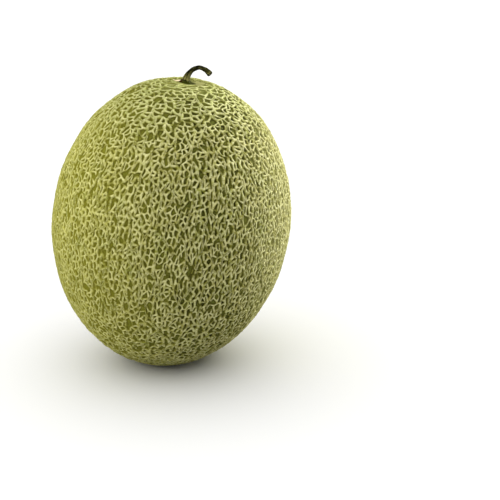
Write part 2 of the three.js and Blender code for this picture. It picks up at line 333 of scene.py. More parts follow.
BLEACH_SPREAD = 0.25
SLOW_SHARE = 0.18  # of its width that a cord swells in slow waves
SLOW_LENGTH = 20 * MM
QUICK_SHARE = 0.2  # and in quick ones
QUICK_LENGTH = 3 * MM
YOUNG_WIDTH = ((0.55, 0.9), (1, 0.82))  # height on a unit sphere, and share of the width there
HEIGHT_SHARES = (0.5, 1.1)  # the least and the most of CORD_HEIGHT
COURSE_PASSES = 3  # of smoothing, for the cords between patches
FLOOR_HEIGHT = 0.05 * MM  # of a cell's floor over the rind
SUNK = 0.3 * MM  # how far under the rind the net lies inside its collar
GROOVE_DEPTH = 0.6 * MM  # where the cork of a stout cord has split along its crest
GROOVED_SIZE = 0.85  # the least size of such a cord
CORD_STEPS = 3  # along each cord from corner to corner
FOOT_LIMIT = 0.8  # the most of the way to its cell's middle that a cord may cover
NARROWEST = 0.3 * MM  # half width of a cord
OPEN_FOOT = 0.15  # how much less painted shade and stain a cord's foot has in a wide cell than in a crack
OPEN_ROOM = 1.6  # room beside a cord from which a cell is wide, in half widths of the cord
# The cord's cross-section from crest to foot: share of its half width, and of its height.
SECTION = ((0.4, 0.9), (0.74, 0.5), (1.0, 0.1))
SECTION_ROUNDING = (1, 2, 2)  # passes that round the cell's corners off at each of these
WOBBLE = 0.42 * MM  # how far a cord's course strays
WOBBLE_LENGTH = 4.5 * MM  # of the waves that it strays in
COLLAR_RADIUS = 9.2 * MM  # of the plain skin round the stem
COLLAR_OFFSET = (2.6 * MM, -0.4 * MM, 0)  # of its middle from the stem's foot
SCAR_RADIUS = 5 * MM  # of the plain skin at the blossom end
RAGGED = 0.3  # how far the net's edge strays there, as a share of the radius
NET_EDGE = 0.8  # where the net starts, as a share of the ragged radius
NET_FADE = 0.4  # over which it grows to its full height
NET_SECTORS = 5  # pieces that the net is kept in, each of a size that exports whole
rng = np.random.default_rng(15)


def stretched(latitude):
    """Isometric latitude scaled so that small shapes are drawn out along the fruit by WAIST_RATIO
    at the waist and by END_RATIO at both ends: a straight line plus a hyperbolic tangent."""
    bend = (WAIST_RATIO - END_RATIO) * RATIO_REACH
    return END_RATIO * latitude + bend * np.tanh(latitude / RATIO_REACH)


def stretch_slope(latitude):
    """The slope of stretched(), which is how far a small shape is drawn out there."""
    return END_RATIO + (WAIST_RATIO - END_RATIO) / np.cosh(latitude / RATIO_REACH) ** 2


def unstretched(latitude):
    """The latitude that stretched() takes to this one, by Newton's steps."""
    found = latitude.copy()
    for _ in range(20):
        found -= (stretched(found) - latitude) / stretch_slope(found)
    return found


def on_sphere(latitude, longitude):
    """Unit vectors at these isometric latitudes and longitudes."""
    ring = 1 / np.cosh(latitude)
    return np.stack([ring * np.cos(longitude), ring * np.sin(longitude), np.tanh(latitude)], 1)


def unit(vectors):
    """Vectors scaled to length one."""
    return vectors / np.maximum(np.linalg.norm(vectors, axis=1), 1e-12)[:, None]


def cell_middles():
    """Isometric latitude and longitude of each cell's middle, before stretching.

    A sunflower lattice, crowded along the fruit as CROWDING says, taken back through
    stretched(). Each point then strays at random by up to JITTER of the cell's width there. One
    that comes too near another is dropped, and so are the neighbours of the bare cells."""
    fine = np.linspace(-1, 1, 2001)
    crowding = np.interp(fine, CROWDING_ALONG, CROWDING)
    so_far = np.concatenate([[0], np.cumsum(crowding[1:])]) / crowding[1:].sum()
    step = np.arange(1, CELLS - 1)
    along = np.interp(1 - (step + 0.5) / CELLS, so_far, fine)
    latitude = unstretched(np.arctanh(along))
    longitude = step * np.pi * (3 - np.sqrt(5))
    final = stretched(latitude)
    crowded = np.interp(along, fine, crowding / crowding.mean())
    width = np.sqrt(4 * np.pi / CELLS / crowded)
    stray = JITTER * width * np.cosh(final) / np.sqrt(stretch_slope(latitude))
    latitude = latitude + stray * rng.uniform(-1, 1, len(step))
    longitude = longitude + stray * rng.uniform(-1, 1, len(step))
    spot = on_sphere(stretched(latitude), longitude)
    near = spot.astype(np.float32)
    kept = ~np.triu(near @ near.T > np.cos(NEAREST * width), 1).any(0)
    bare = rng.choice(np.flatnonzero(along > BARE_FROM), BARE_CELLS, replace=False)
    gap = np.arccos(np.clip(spot @ spot[bare].T, -1, 1)) / np.sqrt(4 * np.pi / CELLS)
    kept &= (gap > rng.uniform(*BARE_REACH, BARE_CELLS)).all(1)
    kept[bare] = True
    return latitude[kept], longitude[kept]


def delaunay(latitude, longitude):
    """Triangles that join the cells' middles, anticlockwise from outside, and the middles' unit
    vectors.

    The sphere is spread out flat from the blossom end, which keeps every circle a circle, so its
    triangles are the plane's. The last middle is the blossom end itself, which joins every side
    of the plane's outer boundary."""
    radius = np.exp(-latitude)
    flat = np.stack([radius * np.cos(longitude), radius * np.sin(longitude)], 1)
    _, _, faces, origins, _, _ = delaunay_2d_cdt(
        [Vector(p) for p in flat.tolist()], [], [], 0, 1e-9
    )
    given = np.array([origin[0] for origin in origins])
    triangles = given[np.array(faces)]
    middles = np.concatenate([on_sphere(latitude, longitude), [[0, 0, -1]]])
    sides = np.concatenate([triangles[:, [0, 1]], triangles[:, [1, 2]], triangles[:, [2, 0]]])
    forth = sides[:, 0] * len(middles) + sides[:, 1]
    back = sides[:, 1] * len(middles) + sides[:, 0]
    outer = sides[~np.isin(forth, back)]
    end = np.full(len(outer), len(middles) - 1)
    return np.concatenate([triangles, np.stack([outer[:, 1], outer[:, 0], end], 1)]), middles


def cell_rings(triangles, middles):
    """Each cell's corners in order round it, as flat arrays: the cell and the corner of each
    entry, and the next and previous entries of the same ring. A corner is a triangle's circle
    centre, which on a sphere is the triangle's unit normal."""
    a, b, c = (middles[triangles[:, i]] for i in range(3))
    corners = unit(np.cross(b - a, c - a))
    cell = triangles.ravel()
    corner = np.repeat(np.arange(len(triangles)), 3)
    middle = middles[cell]
    east = np.stack([-middle[:, 1], middle[:, 0], np.zeros(len(cell))], 1)
    east = unit(east + (np.abs(middle[:, 2:]) > 1 - 1e-9) * np.array([1.0, 0, 0]))
    north = np.cross(middle, east)
    spot = corners[corner]
    angle = np.arctan2((spot * north).sum(1), (spot * east).sum(1))
    order = np.lexsort((angle, cell))
    cell, corner = cell[order], corner[order]
    index = np.arange(len(cell))
    starts = np.searchsorted(cell, cell, "left")
    ends = np.searchsorted(cell, cell, "right") - 1
    following = np.where(index == ends, starts, index + 1)
    leading = np.where(index == starts, ends, index - 1)
    return corners, cell, corner, following, leading


# Each middle moves a third of the way to the mean of its cell's corners, which evens out the
# slivers. The corners are then stretched into their final places.
latitude, longitude = cell_middles()
for _ in range(EVENING_PASSES):
    triangles, middles = delaunay(latitude, longitude)
    corners, cell, corner, following, leading = cell_rings(triangles, middles)
    mean_way = np.stack([np.bincount(cell, corners[corner, i]) for i in range(3)], 1)
    evened = unit(2 * middles + unit(mean_way))[:-1]
    latitude = np.arctanh(np.clip(evened[:, 2], -1 + 1e-12, 1 - 1e-12))
    longitude = np.arctan2(evened[:, 1], evened[:, 0])
triangles, middles = delaunay(latitude, longitude)
corners, cell, corner, following, leading = cell_rings(triangles, middles)
corner_way = on_sphere(
    stretched(np.arctanh(np.clip(corners[:, 2], -1 + 1e-12, 1 - 1e-12))),
    np.arctan2(corners[:, 1], corners[:, 0]),
)

# Each cord is one edge between two cells. Its points are shared by both: the corners first, then
# the steps along each edge from its lower-numbered corner.
pair = np.sort(np.stack([corner, corner[following]], 1), axis=1)
edges, edge = np.unique(pair, axis=0, return_inverse=True)
edge = edge.ravel()

# The first cracks ran between patches of cells, long along the fruit, and later ones split each
# patch into its cells. A first crack's course is smooth, so later ones meet it in a T.
north = np.arcsin(np.tanh(stretched(np.arctanh(np.clip(middles[:, 2], -1 + 1e-12, 1 - 1e-12)))))
east = np.arctan2(middles[:, 1], middles[:, 0])
seeds = rng.choice(len(middles), PATCHES, replace=False)
north_gap = (north[:, None] - north[seeds]) / PATCH_RATIO
east_gap = np.sqrt(np.outer(np.cos(north), np.cos(north[seeds])))
east_gap *= 2 * np.sin((east[:, None] - east[seeds]) / 2)
patch_of_cell = np.hypot(north_gap, east_gap).argmin(1)
both_sides = patch_of_cell[cell[np.argsort(edge, kind="stable")].reshape(-1, 2)]
first = both_sides[:, 0] != both_sides[:, 1]
ends = np.concatenate([edges[first], edges[first][:, ::-1]])
first_cords = np.bincount(ends[:, 0], minlength=len(corners))
for _ in range(COURSE_PASSES):
    ahead = [np.bincount(ends[:, 0], corner_way[ends[:, 1], i], len(corners)) for i in range(3)]
    smoother = unit(corner_way + np.stack(ahead, 1) / 2)
    corner_way = np.where((first_cords == 2)[:, None], smoother, corner_way)

step_share = np.arange(1, CORD_STEPS) / CORD_STEPS
from_way, to_way = corner_way[edges[:, 0]], corner_way[edges[:, 1]]
step_way = from_way[:, None] * (1 - step_share)[:, None] + to_way[:, None] * step_share[:, None]
crest_way = unit(np.concatenate([corner_way, step_way.reshape(-1, 3)]))

# The crests in order round each cell, and the next and previous entries of the same ring.
forward = (corner < corner[following])[:, None]
step = np.arange(1, CORD_STEPS)[None]
along_edge = edge[:, None] * (CORD_STEPS - 1) + np.where(forward, step, CORD_STEPS - step) - 1
ring = np.concatenate([corner[:, None], len(corners) + along_edge], 1).ravel()
entry = np.arange(len(ring)).reshape(-1, CORD_STEPS)
ring_next = np.roll(entry, -1, axis=1)
ring_next[:, -1] = entry[following, 0]
ring_next = ring_next.ravel()
ring_back = np.roll(entry, 1, axis=1)
ring_back[:, 0] = entry[leading, -1]
ring_back = ring_back.ravel()
ring_cell = np.repeat(cell, CORD_STEPS)

# How each cord runs: its slant from the long way of its cell, 0 along and 1 across.
span = unit(to_way - from_way)
middle_way = unit(from_way + to_way)
eastward = unit(np.cross([0, 0, 1], middle_way))
across_meridian = np.abs((span * eastward).sum(1))
edge_latitude = np.arctanh(np.clip(middle_way[:, 2], -0.9999, 0.9999))
drawn_out = stretch_slope(unstretched(edge_latitude))
drawn_out *= 1 + OVOID_RATIO * (1 - middle_way[:, 2] ** 2)
across = np.where(drawn_out > 1, across_meridian, np.sqrt(1 - across_meridian**2))

# The first cords are the stoutest, and none of them has faded from end to end. A few of the
# later ones have, more of them across their cell, and any cord may have faded at one step.
stout = np.where(first, FIRST_SIZE, LATER_SIZE) - ACROSS_THINNER * across
stout += rng.uniform(-SIZE_SPREAD, SIZE_SPREAD, len(edges))
fading = FADED + FADED_ACROSS * across
faded = rng.random((len(edges), CORD_STEPS - 1)) < fading[:, None]
faded |= (rng.random(len(edges)) < np.where(first, 0.0, fading))[:, None]
at_corner = np.bincount(edges.ravel(), np.repeat(stout, 2), len(corners))
at_corner /= np.bincount(edges.ravel(), minlength=len(corners))
size = np.concatenate([at_corner, np.repeat(stout, CORD_STEPS - 1)])
strength = np.concatenate([np.ones(len(corners)), 1.0 - faded.ravel()])
# The thinnest are the most bleached, on the whole.
bleach = BLEACH - BLEACH_BY_SIZE * size + rng.uniform(-BLEACH_SPREAD, BLEACH_SPREAD, len(size))
bleach = np.clip(bleach, 0, 1)

# The wobble carries the cords' courses sideways in gentle waves.
crest = ovoid(crest_way, np.zeros(len(crest_way)))
drift = np.stack([waves(crest, WOBBLE_LENGTH, seed) for seed in (21, 22, 23)], 1)
crest_way = unit(crest_way + drift * WOBBLE / WAIST_RADIUS)
crest = ovoid(crest_way, np.zeros(len(crest_way)))
outward = unit(ovoid(crest_way, np.full(len(crest_way), MM)) - crest)

# The net stops short of the stem and of the blossom scar, at a ragged line.
scar = ovoid(np.array([[0.0, 0, -1]]), np.zeros(1))[0]
ragged = 1 + RAGGED * waves(crest, 12 * MM, 31)
collar = np.array(STEM_FOOT) + COLLAR_OFFSET
netted = np.ones(len(crest))
for spot, radius in ((collar, COLLAR_RADIUS), (scar, SCAR_RADIUS)):
    away = np.linalg.norm(crest - spot, axis=1) / (radius * ragged)
    netted *= np.clip((away - NET_EDGE) / NET_FADE, 0, 1)


def eased(values):
    """Values at the crests, each averaged twice with those beside it along the cords."""
    for _ in range(2):
        beside = np.bincount(ring, values[ring[ring_next]] + values[ring[ring_back]])
        values = values / 2 + beside / np.bincount(ring) / 4
    return values


# A faded cord tapers off beside its neighbours. Width and height swell in slow and quick waves,
# the cords are narrower towards the stem, and a groove runs in places along the stoutest.
size, bleach, netted = eased(size), eased(bleach), eased(netted)
strength = eased(strength) * netted
half_width = CORD_HALF_WIDTH * size * (1 + SLOW_SHARE * waves(crest, SLOW_LENGTH, 41))
kept_width = FADED_WIDTH + (1 - FADED_WIDTH) * strength
half_width *= (1 + QUICK_SHARE * waves(crest, QUICK_LENGTH, 42)) * kept_width
half_width *= np.interp(crest_way[:, 2], *YOUNG_WIDTH)
top = CORD_HEIGHT * np.clip(size * (0.95 + 0.12 * waves(crest, 9 * MM, 51)), *HEIGHT_SHARES)
top = strength * top + (1 - strength) * FLOOR_HEIGHT
groove = np.clip((size - GROOVED_SIZE) / 0.2, 0, 1)
groove *= np.clip(0.5 + 1.5 * waves(crest, 6 * MM, 52), 0, 1)
crest_height = top - GROOVE_DEPTH * groove * strength

# The rings of points inside each cell, from the crests in to the feet.
rim, rim_out = crest[ring], outward[ring]
per_cell = np.bincount(ring_cell)
floor_middle = np.stack([np.bincount(ring_cell, rim[:, i]) / per_cell for i in range(3)], 1)
inward = unit(np.cross(rim_out, rim[ring_next] - rim[ring_back]))
room = ((floor_middle[ring_cell] - rim) * inward).sum(1)
foot = np.maximum(np.minimum(half_width[ring], FOOT_LIMIT * room), NARROWEST)


def rounded(level, passes):
    """A ring round each cell, with its corners rounded off once for each pass."""
    for _ in range(passes):
        level = level / 2 + (level[ring_next] + level[ring_back]) / 4
    return level


# How bare the skin is beside each cord: 0 in a narrow crack, 1 in a wide cell.
openness = np.clip((room / half_width[ring] - OPEN_ROOM) / 1.4, 0, 1)
cell_openness = np.bincount(ring_cell, openness) / per_cell
cell_netted = np.bincount(ring_cell, netted[ring]) / per_cell
floor_tone = rng.random(len(per_cell)) ** 1.3  # how pale the painted shade and stain on its floor is
floor_out = np.stack([np.bincount(ring_cell, rim_out[:, i]) / per_cell for i in range(3)], 1)
levels = [crest + outward * crest_height[:, None]]
heights = [crest_height]
rises = [0.9 + groove / 10]
for (side_share, height_share), rounds in zip(SECTION, SECTION_ROUNDING):
    height = FLOOR_HEIGHT + (top[ring] - FLOOR_HEIGHT) * height_share
    level = rounded(rim + inward * (side_share * foot)[:, None], rounds)
    levels.append(level + rim_out * height[:, None])
    heights.append(height)
    rises.append(height_share - OPEN_FOOT * (1 - height_share) * openness)
# The floor's middle stands a little higher, because the cell's rim is bent over the fruit.
levels.append(floor_middle + floor_out * 2 * FLOOR_HEIGHT)
heights.append(np.full(len(per_cell), FLOOR_HEIGHT))
rises.append(-cell_openness)

# The rise is 1 in a groove, 0.9 on a crest, 0 in a crack and -1 on bare skin, and a faded cord
# comes down to bare skin. The tone is how bleached a cord is, and how pale a cell's painted shade
# and stain are.
ring_levels = len(SECTION)
whole = np.concatenate([strength, np.tile(strength[ring], ring_levels), cell_netted])
rise = np.concatenate(rises) * whole - (1 - whole)
tone = np.concatenate(
    [bleach, np.tile(bleach[ring], ring_levels - 1), floor_tone[ring_cell], floor_tone]
)
# Inside the collar the net lies sunk under the rind.
sunk = 1 - np.concatenate([netted, np.tile(netted[ring], ring_levels), cell_netted])
away = np.concatenate([outward, np.tile(rim_out, (ring_levels, 1)), floor_out])
net_points = np.concatenate(levels) - away * (SUNK * sunk)[:, None]
net_points = pressed(net_points, np.concatenate(heights) - SUNK * sunk)

index = np.arange(len(ring))
inner = [ring] + [len(crest) + level * len(ring) + index for level in range(ring_levels)]
net_quads = np.stack(
    [
        np.stack([outside, outside[ring_next], inside[ring_next], inside], 1)
        for outside, inside in zip(inner, inner[1:])
    ],
    1,
)
floor_point = len(crest) + ring_levels * len(ring) + ring_cell
net_fans = np.stack([inner[-1], inner[-1][ring_next], floor_point], 1)

# Cork: a dry, matt, finely cracked bark, bleached tan over the green it grew from.
CORK = "#86823f"
CORK_YOUNG = "#9ca15d"  # near the stem, where it grew last
# yellowed and painted lighter on the -X flank, where the left light falls
CORK_YELLOWED_AND_LIT = "#a7a54c"
CORK_PALE = "#bfbd8b"  # bleached
CORK_PALE_YELLOWED_AND_LIT = "#cac77c"
CORK_PALE_YOUNG = "#adad75"  # bleached, but for a shorter time, close to the stem
CORK_SHADE = "#62611a"  # painted shade on a cord's sides, over the greener cork that shows through there
# painted side shade, made paler on the -X flank where the left light falls
CORK_SHADE_YELLOWED_AND_LIT = "#8f8c35"
# painted rim light: paler side shade on the +X flank
CORK_SHADE_RIM_LIT = "#9a975c"
CORK_GREEN = "#767a2c"  # in patches
CRACK_SHADE_AND_STAIN = "#1b1800"  # painted shade and stain of the skin in the cracks beside the cords
CRACK_SHADE_AND_STAIN_PALE = "#4d4c17"
CRACK_SHADE_AND_STAIN_YELLOWED_AND_LIT = "#76721f"
CRACK_SHADE_AND_STAIN_RIM_LIT = "#87844a"  # painted rim light: paler cracks on the +X flank, where the right light falls
CRACK_SHADE_AND_STAIN_YOUNG = "#6c6e37"
YOUNG_HEIGHTS = (0.148, 0.176)  # z where the young cork starts, and where all is young
YOUNGEST_REACH = (34 * MM, 12 * MM)  # the same for the youngest, from the stem's foot
RIM_LIGHT_SIDE = (0.045, 0.082)  # the same for the painted rim light on the +X flank, in x
PATCH_SIZE = 9 * MM  # of the greener patches
BLEACH_SIZE = 1.8 * MM
CRACK_SIZE = 1.1 * MM  # coarser than the real cracks, so that they show

cork, tree, shader, place = new_material("melon_net_cork")
shader.inputs["Roughness"].default_value = 0.7
shader.inputs["Specular IOR Level"].default_value = 0.05
mottle = add_node(
    tree, "TexNoise", inputs={"Scale": 1 / PATCH_SIZE, "Detail": 3}, links={"Vector": place}
)
cracking = add_node(
    tree, "TexNoise", inputs={"Scale": 1 / CRACK_SIZE, "Detail": 4, "Roughness": 0.65},
    links={"Vector": place},
)
cork_axes = add_node(tree, "SeparateXYZ", links={"Vector": place})
# the -X flank: yellowed, and painted lighter where the left light falls
yellowed_and_lit = add_node(
    tree, "MapRange", {"interpolation_type": "SMOOTHSTEP"},
    inputs={"From Min": YELLOWED_AND_LIT_SIDE[0], "From Max": YELLOWED_AND_LIT_SIDE[1]},
    links={"Value": cork_axes.outputs["X"]},
)
greener = add_node(
    tree, "MapRange", inputs={"From Min": 0.45, "From Max": 0.7},
    links={"Value": mottle.outputs["Fac"]},
)
weather = add_node(
    tree, "TexNoise", inputs={"Scale": 1 / BLEACH_SIZE, "Detail": 5, "Roughness": 0.7},
    links={"Vector": place},
)
tone_node = add_node(tree, "Attribute", {"attribute_name": "tone"})
weathered = add_node(
    tree, "Math", {"operation": "MULTIPLY_ADD"}, inputs={1: 0.3},
    links={0: tone_node.outputs["Fac"], 2: weather.outputs["Fac"]},
)
bleaching = add_node(
    tree, "MapRange", inputs={"From Min": 0.53, "From Max": 0.83},
    links={"Value": weathered.outputs["Value"]},
)
yellowed_and_lit_cork = add_node(
    tree, "Mix", {"data_type": "RGBA"},
    inputs={6: linear(CORK), 7: linear(CORK_YELLOWED_AND_LIT)}, links={0: yellowed_and_lit.outputs["Result"]},
)
younger = add_node(
    tree, "MapRange", {"interpolation_type": "SMOOTHSTEP"},
    inputs={"From Min": YOUNG_HEIGHTS[0], "From Max": YOUNG_HEIGHTS[1]},
    links={"Value": cork_axes.outputs["Z"]},
)
fresh_cork = yellowed_and_lit_cork.outputs[2]
for share, cast in ((younger, CORK_YOUNG), (greener, CORK_GREEN)):
    fresh_cork = add_node(
        tree, "Mix", {"data_type": "RGBA"}, inputs={7: linear(cast)},
        links={0: share.outputs["Result"], 6: fresh_cork},
    ).outputs[2]
to_stem = add_node(
    tree, "VectorMath", {"operation": "DISTANCE"}, inputs={1: STEM_FOOT}, links={0: place}
)
youngest = add_node(
    tree, "MapRange", {"interpolation_type": "SMOOTHSTEP"},
    inputs={"From Min": YOUNGEST_REACH[0], "From Max": YOUNGEST_REACH[1]},
    links={"Value": to_stem.outputs["Value"]},
)
bleached_cork = add_node(
    tree, "Mix", {"data_type": "RGBA"},
    inputs={6: linear(CORK_PALE), 7: linear(CORK_PALE_YELLOWED_AND_LIT)}, links={0: yellowed_and_lit.outputs["Result"]},
)
young_bleached_cork = add_node(
    tree, "Mix", {"data_type": "RGBA"}, inputs={7: linear(CORK_PALE_YOUNG)},
    links={0: youngest.outputs["Result"], 6: bleached_cork.outputs[2]},
)
weathered_cork = add_node(
    tree, "Mix", {"data_type": "RGBA"},
    links={
        0: bleaching.outputs["Result"],
        6: fresh_cork,
        7: young_bleached_cork.outputs[2],
    },
)
rise_node = add_node(tree, "Attribute", {"attribute_name": "rise"})
crest_line = add_node(
    tree, "MapRange", inputs={"From Min": 0.905, "From Max": 0.95},
    links={"Value": rise_node.outputs["Fac"]},
)
corky = add_node(
    tree, "MapRange", {"interpolation_type": "SMOOTHSTEP"},
    inputs={"From Min": 0.0, "From Max": 0.45}, links={"Value": rise_node.outputs["Fac"]},
)
# painted shade: a cord's sides darken from the crest down, so the crest shows as a light line
shaded = add_node(
    tree, "MapRange", inputs={"From Min": 0.9, "From Max": 0.45, "To Max": 0.85},
    links={"Value": rise_node.outputs["Fac"]},
)
bare_skin = add_node(
    tree, "MapRange", inputs={"From Min": 0.0, "From Max": -0.9},
    links={"Value": rise_node.outputs["Fac"]},
)
# painted rim light on the +X flank, where the right light falls
painted_rim_light = add_node(
    tree, "MapRange", {"interpolation_type": "SMOOTHSTEP"},
    inputs={"From Min": RIM_LIGHT_SIDE[0], "From Max": RIM_LIGHT_SIDE[1]}, links={"Value": cork_axes.outputs["X"]},
)
# painted shade and stain in the cracks, paler at random, on the lit flanks and near the stem
uneven = add_node(
    tree, "Mix", {"data_type": "RGBA"}, inputs={6: linear(CRACK_SHADE_AND_STAIN), 7: linear(CRACK_SHADE_AND_STAIN_PALE)},
    links={0: tone_node.outputs["Fac"]},
)
crack_shade_and_stain = uneven.outputs[2]
for share, crack_colour in ((yellowed_and_lit, CRACK_SHADE_AND_STAIN_YELLOWED_AND_LIT), (painted_rim_light, CRACK_SHADE_AND_STAIN_RIM_LIT), (youngest, CRACK_SHADE_AND_STAIN_YOUNG)):
    crack_shade_and_stain = add_node(
        tree, "Mix", {"data_type": "RGBA"}, inputs={7: linear(crack_colour)},
        links={0: share.outputs["Result"], 6: crack_shade_and_stain},
    ).outputs[2]
# a split crest takes the same painted shade and stain
broken = add_node(
    tree, "MapRange", inputs={"From Min": 0.7, "From Max": 0.5, "To Max": 0.55},
    links={"Value": weather.outputs["Fac"]},
)
cracks = add_node(
    tree, "Math", {"operation": "MULTIPLY"},
    links={0: crest_line.outputs["Result"], 1: broken.outputs["Result"]},
)
split = add_node(
    tree, "Mix", {"data_type": "RGBA"},
    links={0: cracks.outputs["Value"], 6: weathered_cork.outputs[2], 7: crack_shade_and_stain},
)
# a cord's painted side shade, paler on the yellowed and lit -X flank
side_shade_yellowed_and_lit = add_node(
    tree, "Mix", {"data_type": "RGBA"},
    inputs={6: linear(CORK_SHADE), 7: linear(CORK_SHADE_YELLOWED_AND_LIT)}, links={0: yellowed_and_lit.outputs["Result"]},
)
shade = add_node(
    tree, "Mix", {"data_type": "RGBA"}, inputs={7: linear(CORK_SHADE_RIM_LIT)},
    links={0: painted_rim_light.outputs["Result"], 6: side_shade_yellowed_and_lit.outputs[2]},
)
rounded_off = add_node(
    tree, "Mix", {"data_type": "RGBA"},
    links={0: shaded.outputs["Result"], 6: split.outputs[2], 7: shade.outputs[2]},
)
shaded_and_stained_skin = add_node(
    tree, "Mix", {"data_type": "RGBA"},
    links={0: bare_skin.outputs["Result"], 6: crack_shade_and_stain, 7: skin_colour(tree, place)},
)
cork_colour = add_node(
    tree, "Mix", {"data_type": "RGBA"},
    links={0: corky.outputs["Result"], 6: shaded_and_stained_skin.outputs[2], 7: rounded_off.outputs[2]},
)
tree.links.new(cork_colour.outputs[2], shader.inputs["Base Color"])
bump = add_node(
    tree, "Bump", inputs={"Strength": 1, "Distance": 0.9 * MM},
    links={"Height": cracking.outputs["Fac"]},
)
tree.links.new(bump.outputs["Normal"], shader.inputs["Normal"])

# The net is kept in sectors, each with the cells on one side of the fruit. All take their
# shading from the whole net, so no seam shows between them. A cell that lies wholly under the
# collar is left out.
diagonal = net_points[net_quads[..., 2]] - net_points[net_quads[..., 0]]
other_diagonal = net_points[net_quads[..., 3]] - net_points[net_quads[..., 1]]
quad_way = np.cross(diagonal, other_diagonal).reshape(-1, 3)
fan_way = np.cross(*(net_points[net_fans[:, i]] - net_points[net_fans[:, 0]] for i in (1, 2)))
face_points = np.concatenate([net_quads.ravel(), net_fans.ravel()])
face_way = np.concatenate([np.repeat(quad_way, 4, axis=0), np.repeat(fan_way, 3, axis=0)])
net_way = np.stack([np.bincount(face_points, face_way[:, i]) for i in range(3)], 1)
net_way = unit(net_way)
shown = np.bincount(ring_cell, netted[ring] > 0) > 0
sector_of_cell = np.arctan2(floor_middle[:, 1], floor_middle[:, 0] - MIDDLE.x)
sector_of_cell = ((sector_of_cell / (2 * np.pi) + 0.5) * NET_SECTORS).astype(int) % NET_SECTORS
nets = []
for sector in range(NET_SECTORS):
    own = (sector_of_cell == sector)[ring_cell] & shown[ring_cell]
    quads, fans = net_quads[own].reshape(-1, 4), net_fans[own]
    used = np.unique(np.concatenate([quads.ravel(), fans.ravel()]))
    renumbered = np.zeros(len(net_points), int)
    renumbered[used] = np.arange(len(used))
    net = add_piece(f"net_sector_{sector + 1}", net_points[used], renumbered[quads], renumbered[fans])
    for name, values in (("rise", rise), ("tone", tone)):
        net.data.attributes.new(name, "FLOAT", "POINT").data.foreach_set(
            "value", values[used].astype(np.float32)
        )
    net.data.normals_split_custom_set_from_vertices(net_way[used].tolist())
    facing = (sector + 0.5) / NET_SECTORS * 2 * np.pi - np.pi
    from_middle = unit(net_points[used] - np.array(MIDDLE))
    ahead = np.array([np.cos(facing), np.sin(facing), 0])
    beside = np.array([-np.sin(facing), np.cos(facing), 0])
    flat = np.stack([from_middle @ beside, from_middle[:, 2]], 1)
    flat *= np.sqrt(2 / (1 + from_middle @ ahead))[:, None]
    flat = (flat - flat.min(0)) / np.ptp(flat, axis=0) * 0.98 + 0.01
    corners_at = np.empty(len(net.data.loops), np.int32)
    net.data.loops.foreach_get("vertex_index", corners_at)
    net.data.uv_layers.new(name="OFBake").data.foreach_set("uv", flat[corners_at].ravel())
    net.data.materials.append(cork)
    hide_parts("fruit")
    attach(net, "root")
    nets.append(net)

# ---- The stem ----------------------------------------------------------------
# The stalk that the melon hung on, cut short and dried: dark, woody, five-ribbed, with a foot
# that spreads in toes over the rind. It arches over to +X and ends in a blunt cut.

# The centre line over the rind, from the root to the cut, and the radius along it.
STEM_LINE = np.array([
    [-0.5, 0, -1.5],
    [-0.3, 0, 0.0],
    [-0.1, 0, 1.5],
    [0.6, -0.1, 3.6],
    [2.2, -0.3, 6.1],
    [4.8, -0.6, 8.3],
    [8.3, -0.9, 9.3],
    [11.7, -1.2, 8.1],
    [13.6, -1.5, 6.6],
    [14.5, -1.6, 5.6],
]) * MM
STEM_RADIUS = np.array([3.6, 3.5, 2.6, 1.95, 1.55, 1.3, 1.25, 1.4, 1.65, 1.7]) * MM
STEM_RIBS = 5
RIB_SHARE = 0.09  # height of a rib, as a share of the radius
TOE_SHARE = 0.26  # how much further the ribs stand out as toes at the foot
TOE_REACH = 0.16  # how far up the toes run, as a share of the stem
STEM_TWIST = 1.1  # in radians from foot to cut
FIBRE_SHARE = 0.035  # height of the fibres, as a share of the radius
KNOT_SHARE = 0.06  # and of the knots
FIBRE_STRETCH = 4  # the stem's length in the pattern of both, where its radius is 1
CUT = ((0.94, 0.35), (0.78, 0.75), (0.55, 0.95), (0.28, 1.0))  # share of the radius, mm along
CUT_MIDDLE = 0.95 * MM
STEM_SIDES = 100
STEM_STEPS = 150


def smooth_line(points, count):
    """Points along a Catmull-Rom spline: between two points, the cubic whose slope at each is
    half the way from the point before it to the point after it."""
    padded = np.concatenate([[2 * points[0] - points[1]], points, [2 * points[-1] - points[-2]]])
    place = np.linspace(0, len(points) - 1, count)
    span = np.minimum(place.astype(int), len(points) - 2)
    t = (place - span)[:, None]
    a, b, c, d = (padded[span + i] for i in range(4))
    return b + t / 2 * (c - a + t * (2 * a - 5 * b + 4 * c - d + t * (3 * (b - c) + d - a)))


stem_line = smooth_line(STEM_LINE, STEM_STEPS) + np.array(STEM_FOOT)
stem_radius = smooth_line(STEM_RADIUS[:, None], STEM_STEPS)[:, 0]
tangent = unit(np.gradient(stem_line, axis=0))
upright = unit(np.cross(tangent, [0, 1, 0]))
sideways = np.cross(upright, tangent)
up_stem = np.linspace(0, 1, STEM_STEPS)[:, None]
angle = np.linspace(0, 2 * np.pi, STEM_SIDES, endpoint=False)[None]
toes = TOE_SHARE * np.exp(-((up_stem / TOE_REACH) ** 2))
ribs = 1 + (RIB_SHARE + toes) * np.cos(STEM_RIBS * angle)
around = (np.cos(angle), np.sin(angle), up_stem * FIBRE_STRETCH)
around = np.stack(np.broadcast_arrays(*around), -1)
fibres = waves(around.reshape(-1, 3), 0.5, 61).reshape(ribs.shape)
knots = waves(around.reshape(-1, 3), 1.6, 62).reshape(ribs.shape)
radius = stem_radius[:, None] * ribs * (1 + FIBRE_SHARE * fibres + KNOT_SHARE * knots)
twisted = angle + STEM_TWIST * up_stem
stem_points = (
    stem_line[:, None]
    + upright[:, None] * (radius * np.cos(twisted))[..., None]
    + sideways[:, None] * (radius * np.sin(twisted))[..., None]
)
